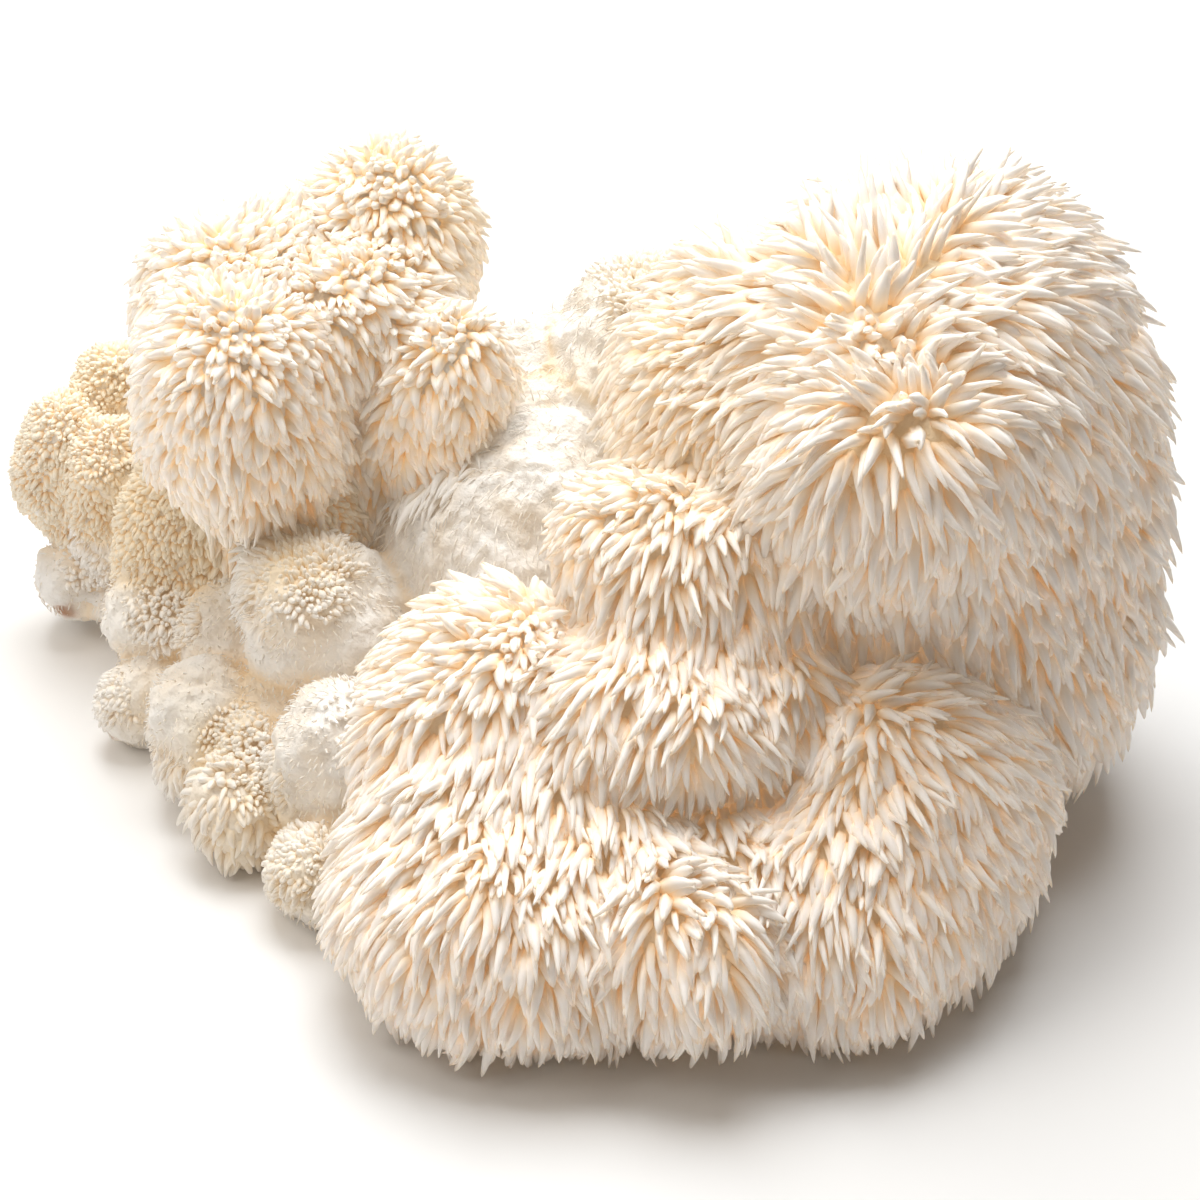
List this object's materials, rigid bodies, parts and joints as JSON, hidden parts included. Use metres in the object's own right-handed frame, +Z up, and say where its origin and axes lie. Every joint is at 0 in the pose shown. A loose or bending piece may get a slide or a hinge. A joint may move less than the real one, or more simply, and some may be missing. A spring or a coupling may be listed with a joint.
{
  "type": "lion's mane mushroom",
  "caption": "Clump of lion's mane mushroom: rounded lobes of soft cream flesh under coats of hanging spines, sliced flat underneath so that it stands on its cut.",
  "frame": {"origin": "middle of the clump's footprint box, on the flat cut that it stands on", "axes": "+Z up out of the cut, +X towards the great round head, along the clump's longest way, and -Y towards the front, where the ragged foot is"},
  "size_m": [0.1927, 0.1493, 0.1077],
  "materials": {
    "flesh": "soft, matt and velvety, slightly see-through at the spine tips"
  },
  "bodies": {
    "root": {"fruiting_body": "flesh"}
  },
  "joints": []
}
